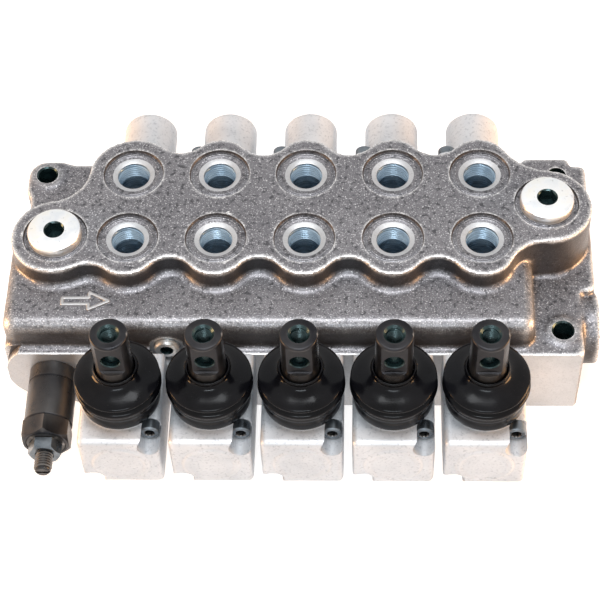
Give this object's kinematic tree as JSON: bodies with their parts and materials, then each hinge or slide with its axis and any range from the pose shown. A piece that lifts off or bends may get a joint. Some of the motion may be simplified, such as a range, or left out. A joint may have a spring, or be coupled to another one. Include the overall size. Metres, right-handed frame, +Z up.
{
  "type": "hydraulic control valve",
  "caption": "Cast monoblock directional control valve: a bank of lever-operated spools with rubber boots, spring caps, a relief valve and threaded ports on top.",
  "frame": {"origin": "on the base face, under the axis of the middle section's front work port", "axes": "+Z up out of the work ports, +X along the bank of sections to the right, levers at the front towards -Y"},
  "size_m": [0.269, 0.1991, 0.0932],
  "materials": {
    "cast_iron": "as cast, sand-cast skin with machined port faces",
    "cast_aluminium": "die cast, matte",
    "rubber": "glossy black",
    "black_oxide_steel": "black oxide, satin",
    "ground_steel": "ground, bright",
    "zinc_plate": "zinc plated, bright",
    "seal": "matte black"
  },
  "bodies": {
    "housing": {"valve_body": "cast_iron", "lever_box_1": "cast_aluminium", "ball_ring_1": "ground_steel", "boot_1": "rubber", "rear_cap_1": "cast_aluminium", "centring_spring_1": "ground_steel", "spool_wiper_1": "seal", "lever_box_2": "cast_aluminium", "ball_ring_2": "ground_steel", "boot_2": "rubber", "rear_cap_2": "cast_aluminium", "centring_spring_2": "ground_steel", "spool_wiper_2": "seal", "lever_box_3": "cast_aluminium", "ball_ring_3": "ground_steel", "boot_3": "rubber", "rear_cap_3": "cast_aluminium", "centring_spring_3": "ground_steel", "spool_wiper_3": "seal", "lever_box_4": "cast_aluminium", "ball_ring_4": "ground_steel", "boot_4": "rubber", "rear_cap_4": "cast_aluminium", "centring_spring_4": "ground_steel", "spool_wiper_4": "seal", "lever_box_5": "cast_aluminium", "ball_ring_5": "ground_steel", "boot_5": "rubber", "rear_cap_5": "cast_aluminium", "centring_spring_5": "ground_steel", "spool_wiper_5": "seal", "relief_cartridge": "black_oxide_steel", "relief_lock_nut": "zinc_plate", "relief_spring": "ground_steel", "check_plug": "black_oxide_steel", "check_spring": "ground_steel", "pump_port_plug": "zinc_plate", "tank_port_plug": "zinc_plate"},
    "lever_arm_1": {"lever_1": "black_oxide_steel"},
    "spool_assembly_1": {"spool_1": "ground_steel", "spool_end_screw_1": "ground_steel"},
    "lever_arm_2": {"lever_2": "black_oxide_steel"},
    "spool_assembly_2": {"spool_2": "ground_steel", "spool_end_screw_2": "ground_steel"},
    "lever_arm_3": {"lever_3": "black_oxide_steel"},
    "spool_assembly_3": {"spool_3": "ground_steel", "spool_end_screw_3": "ground_steel"},
    "lever_arm_4": {"lever_4": "black_oxide_steel"},
    "spool_assembly_4": {"spool_4": "ground_steel", "spool_end_screw_4": "ground_steel"},
    "lever_arm_5": {"lever_5": "black_oxide_steel"},
    "spool_assembly_5": {"spool_5": "ground_steel", "spool_end_screw_5": "ground_steel"},
    "relief_seat": {"relief_spring_seat": "ground_steel"},
    "relief_screw": {"relief_adjusting_screw": "black_oxide_steel"},
    "relief_valve_poppet": {"relief_poppet": "ground_steel"},
    "check_valve_poppet": {"check_poppet": "ground_steel"}
  },
  "joints": [
    {"name": "lever_1_tilt", "type": "hinge", "parent": "housing", "child": "lever_arm_1", "pos_m": [-0.08, -0.0695, 0.0465], "axis": [1, 0, 0], "range_deg": [-16, 16], "deforming": ["boot_1"]},
    {"name": "spool_1_stroke", "type": "slide", "parent": "housing", "child": "spool_assembly_1", "axis": [0, 1, 0], "range_m": [-0.00558, 0.00558], "stiffness_N_per_m": 6000, "deforming": ["centring_spring_1"]},
    {"name": "lever_2_tilt", "type": "hinge", "parent": "housing", "child": "lever_arm_2", "pos_m": [-0.04, -0.0695, 0.0465], "axis": [1, 0, 0], "range_deg": [-16, 16], "deforming": ["boot_2"]},
    {"name": "spool_2_stroke", "type": "slide", "parent": "housing", "child": "spool_assembly_2", "axis": [0, 1, 0], "range_m": [-0.00558, 0.00558], "stiffness_N_per_m": 6000, "deforming": ["centring_spring_2"]},
    {"name": "lever_3_tilt", "type": "hinge", "parent": "housing", "child": "lever_arm_3", "pos_m": [0, -0.0695, 0.0465], "axis": [1, 0, 0], "range_deg": [-16, 16], "deforming": ["boot_3"]},
    {"name": "spool_3_stroke", "type": "slide", "parent": "housing", "child": "spool_assembly_3", "axis": [0, 1, 0], "range_m": [-0.00558, 0.00558], "stiffness_N_per_m": 6000, "deforming": ["centring_spring_3"]},
    {"name": "lever_4_tilt", "type": "hinge", "parent": "housing", "child": "lever_arm_4", "pos_m": [0.04, -0.0695, 0.0465], "axis": [1, 0, 0], "range_deg": [-16, 16], "deforming": ["boot_4"]},
    {"name": "spool_4_stroke", "type": "slide", "parent": "housing", "child": "spool_assembly_4", "axis": [0, 1, 0], "range_m": [-0.00558, 0.00558], "stiffness_N_per_m": 6000, "deforming": ["centring_spring_4"]},
    {"name": "lever_5_tilt", "type": "hinge", "parent": "housing", "child": "lever_arm_5", "pos_m": [0.08, -0.0695, 0.0465], "axis": [1, 0, 0], "range_deg": [-16, 16], "deforming": ["boot_5"]},
    {"name": "spool_5_stroke", "type": "slide", "parent": "housing", "child": "spool_assembly_5", "axis": [0, 1, 0], "range_m": [-0.00558, 0.00558], "stiffness_N_per_m": 6000, "deforming": ["centring_spring_5"]},
    {"name": "relief_seat_advance", "type": "slide", "parent": "housing", "child": "relief_seat", "axis": [0, 1, 0], "range_m": [-0.00125, 0.00125], "deforming": ["relief_spring"]},
    {"name": "relief_screw_turn", "type": "hinge", "parent": "relief_seat", "child": "relief_screw", "pos_m": [-0.1145, -0.098, 0.0265], "axis": [0, 1, 0], "range_deg": [-360, 360]},
    {"name": "relief_poppet_lift", "type": "slide", "parent": "housing", "child": "relief_valve_poppet", "axis": [0, -1, 0], "range_m": [0, 0.0015], "stiffness_N_per_m": 3000, "deforming": ["relief_spring"]},
    {"name": "check_poppet_lift", "type": "slide", "parent": "housing", "child": "check_valve_poppet", "axis": [0, -1, 0], "range_m": [0, 0.003], "stiffness_N_per_m": 500, "deforming": ["check_spring"]}
  ],
  "couplings": [
    {"joint": "lever_1_tilt", "follows": "spool_1_stroke", "rad_per_m": 50},
    {"joint": "lever_2_tilt", "follows": "spool_2_stroke", "rad_per_m": 50},
    {"joint": "lever_3_tilt", "follows": "spool_3_stroke", "rad_per_m": 50},
    {"joint": "lever_4_tilt", "follows": "spool_4_stroke", "rad_per_m": 50},
    {"joint": "lever_5_tilt", "follows": "spool_5_stroke", "rad_per_m": 50},
    {"joint": "relief_screw_turn", "follows": "relief_seat_advance", "rad_per_m": 5026.5}
  ]
}
